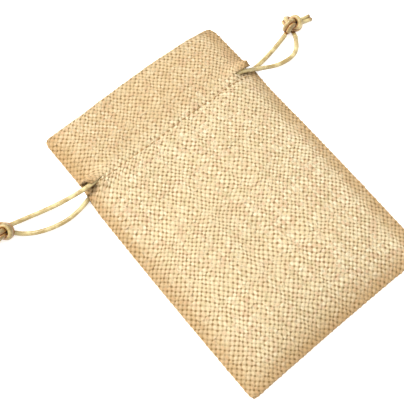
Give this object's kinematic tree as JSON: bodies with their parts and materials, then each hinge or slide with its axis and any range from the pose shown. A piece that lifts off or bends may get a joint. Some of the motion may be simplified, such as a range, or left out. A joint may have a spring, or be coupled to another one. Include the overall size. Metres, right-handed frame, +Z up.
{
  "type": "drawstring gift pouch",
  "caption": "Flat woven cloth gift pouch with a hemmed mouth, side slits and two satin drawstrings, each ending in a knotted loop.",
  "frame": {"origin": "centre of the footprint of the cloth, on the surface the pouch lies on", "axes": "+X across the pouch, +Y from its bottom edge to its mouth, +Z up, out of its front"},
  "size_m": [0.1971, 0.15, 0.011],
  "materials": {
    "cloth": "plain-weave burlap-look cloth, cream and tan threads with dark gaps, matt",
    "hem_cloth": "the same cloth folded inside, matt",
    "thread": "tan sewing thread",
    "cord": "champagne-gold satin cord with a soft sheen",
    "cord_tip": "cut and sealed satin cord end, darker at the tip"
  },
  "bodies": {
    "pouch": {"front_panel": "cloth", "back_panel": "cloth", "front_hem": "hem_cloth", "back_hem": "hem_cloth", "front_mouth_fold": "cloth", "back_mouth_fold": "cloth", "front_stitch_row": "thread", "back_stitch_row": "thread", "left_body_seam": "hem_cloth", "right_body_seam": "hem_cloth", "left_header_seam": "hem_cloth", "right_header_seam": "hem_cloth", "bottom_seam": "hem_cloth", "left_cord_far_bend": "cord", "right_cord_far_bend": "cord"},
    "left_drawstring": {"left_front_strand": "cord", "left_back_strand": "cord", "left_knot": "cord", "left_upper_tail": "cord_tip", "left_lower_tail": "cord_tip"},
    "right_drawstring": {"right_front_strand": "cord", "right_back_strand": "cord", "right_knot": "cord", "right_upper_tail": "cord_tip", "right_lower_tail": "cord_tip"}
  },
  "joints": [
    {"name": "left_drawstring_slide", "type": "slide", "parent": "pouch", "child": "left_drawstring", "axis": [-1, 0, 0], "range_m": [0, 0.03]},
    {"name": "right_drawstring_slide", "type": "slide", "parent": "pouch", "child": "right_drawstring", "axis": [1, 0, 0], "range_m": [0, 0.03]}
  ]
}
